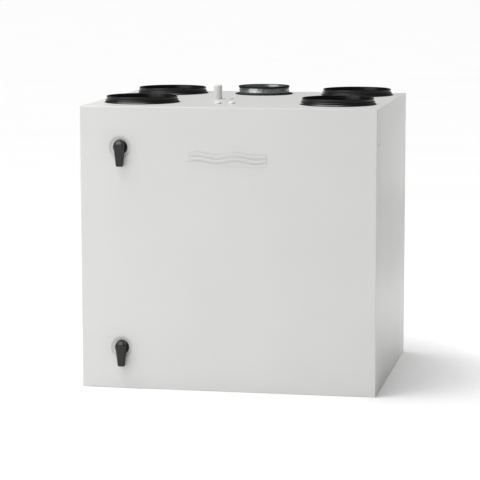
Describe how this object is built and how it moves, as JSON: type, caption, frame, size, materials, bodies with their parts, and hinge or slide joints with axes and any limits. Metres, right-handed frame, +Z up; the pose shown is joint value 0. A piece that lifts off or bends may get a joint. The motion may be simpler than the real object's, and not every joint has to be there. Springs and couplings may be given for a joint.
{
  "type": "heat recovery unit",
  "caption": "White box-shaped ventilation unit with a hinged front door on turn levers, round duct sockets on its roof and a rotary heat exchanger, filters and fans inside.",
  "frame": {"origin": "middle of the whole unit's footprint, levers and wall rail included, at the level of its base", "axes": "+X to the right seen from the front, +Y from the door towards the wall, +Z up"},
  "size_m": [0.68, 0.589, 0.682],
  "materials": {
    "white_paint": "semi-matt white powder coat with a fine orange-peel",
    "galvanised_sheet": "galvanised with a soft spangle",
    "zinc_plated_steel": "zinc plated, satin",
    "bright_steel": "bright turned steel",
    "dark_metal": "dark coated metal, matt",
    "aluminium_sheet": "mill finish sheet",
    "honeycomb_foil": "wound corrugated foil, bright edges",
    "black_plastic": "moulded black plastic, satin",
    "white_plastic": "moulded white plastic, satin",
    "black_rubber": "soft matt rubber",
    "insulation_board": "pressed mineral wool",
    "circuit_board": "lacquered board",
    "filter_card": "plain filter card",
    "filter_fleece": "pleated fleece"
  },
  "bodies": {
    "root": {"left_panel": "white_paint", "right_panel": "white_paint", "rear_panel": "galvanised_sheet", "top_panel": "white_paint", "base_panel": "white_paint", "wall_insulation": "insulation_board", "inner_liner": "galvanised_sheet", "roof_liner": "galvanised_sheet", "panel_screws": "zinc_plated_steel", "hinge_brackets": "white_paint", "latch_keepers": "zinc_plated_steel", "collar_front_left": "black_plastic", "collar_rear_left": "black_plastic", "collar_front_right": "black_plastic", "collar_rear_right": "black_plastic", "collar_seals": "black_rubber", "hood_spigot": "galvanised_sheet", "hood_spigot_base": "black_rubber", "hood_spigot_lip": "black_rubber", "cable_gland": "white_plastic", "cable_gland_nut": "white_plastic", "cable_plugs": "white_plastic", "cassette_sides": "aluminium_sheet", "cassette_frame": "aluminium_sheet", "rotor_axle": "bright_steel", "rotor_seals": "black_rubber", "drive_belt": "black_rubber", "rotor_motor": "dark_metal", "air_dividers": "galvanised_sheet", "hood_duct": "galvanised_sheet", "fan_plates": "galvanised_sheet", "fan_motors": "dark_metal", "filter_frames": "filter_card", "filter_media": "filter_fleece", "heater": "bright_steel", "control_box": "galvanised_sheet", "control_board": "circuit_board", "wall_rail": "zinc_plated_steel", "hanger_rail": "zinc_plated_steel", "wall_spacers": "black_rubber"},
    "door": {"door_skin": "white_paint", "door_insulation": "insulation_board", "door_liner": "galvanised_sheet", "door_gasket": "black_rubber", "hinge_blocks": "white_plastic", "hinge_pins": "bright_steel", "latch_bases": "black_plastic", "latch_nuts": "black_plastic"},
    "latch_upper": {"lever_upper": "black_plastic", "spindle_upper": "zinc_plated_steel", "cam_upper": "zinc_plated_steel"},
    "latch_lower": {"lever_lower": "black_plastic", "spindle_lower": "zinc_plated_steel", "cam_lower": "zinc_plated_steel"},
    "rotor": {"rotor_matrix": "honeycomb_foil", "rotor_wheel": "aluminium_sheet", "rotor_bearings": "dark_metal"},
    "belt_pulley": {"motor_pulley": "black_plastic"},
    "supply_fan": {"supply_impeller": "black_plastic"},
    "exhaust_fan": {"exhaust_impeller": "black_plastic"}
  },
  "joints": [
    {"name": "door_hinge", "type": "hinge", "parent": "root", "child": "door", "pos_m": [0.328, -0.2505, 0.324], "axis": [0, 0, 1], "range_deg": [0, 100]},
    {"name": "latch_upper_turn", "type": "hinge", "parent": "door", "child": "latch_upper", "pos_m": [-0.246, -0.2735, 0.5555], "axis": [0, 1, 0], "range_deg": [0, 90]},
    {"name": "latch_lower_turn", "type": "hinge", "parent": "door", "child": "latch_lower", "pos_m": [-0.246, -0.2735, 0.095], "axis": [0, 1, 0], "range_deg": [0, 90]},
    {"name": "rotor_spin", "type": "hinge", "parent": "root", "child": "rotor", "pos_m": [0, 0.0215, 0.269], "axis": [1, 0, 0], "continuous": true},
    {"name": "pulley_spin", "type": "hinge", "parent": "root", "child": "belt_pulley", "pos_m": [0.06, -0.1655, 0.082], "axis": [1, 0, 0], "continuous": true},
    {"name": "supply_fan_spin", "type": "hinge", "parent": "root", "child": "supply_fan", "pos_m": [0.155, -0.0385, 0.4], "axis": [1, 0, 0], "continuous": true},
    {"name": "exhaust_fan_spin", "type": "hinge", "parent": "root", "child": "exhaust_fan", "pos_m": [-0.155, -0.0585, 0.15], "axis": [1, 0, 0], "continuous": true}
  ],
  "couplings": [
    {"joint": "pulley_spin", "follows": "rotor_spin", "ratio": 11.051}
  ]
}
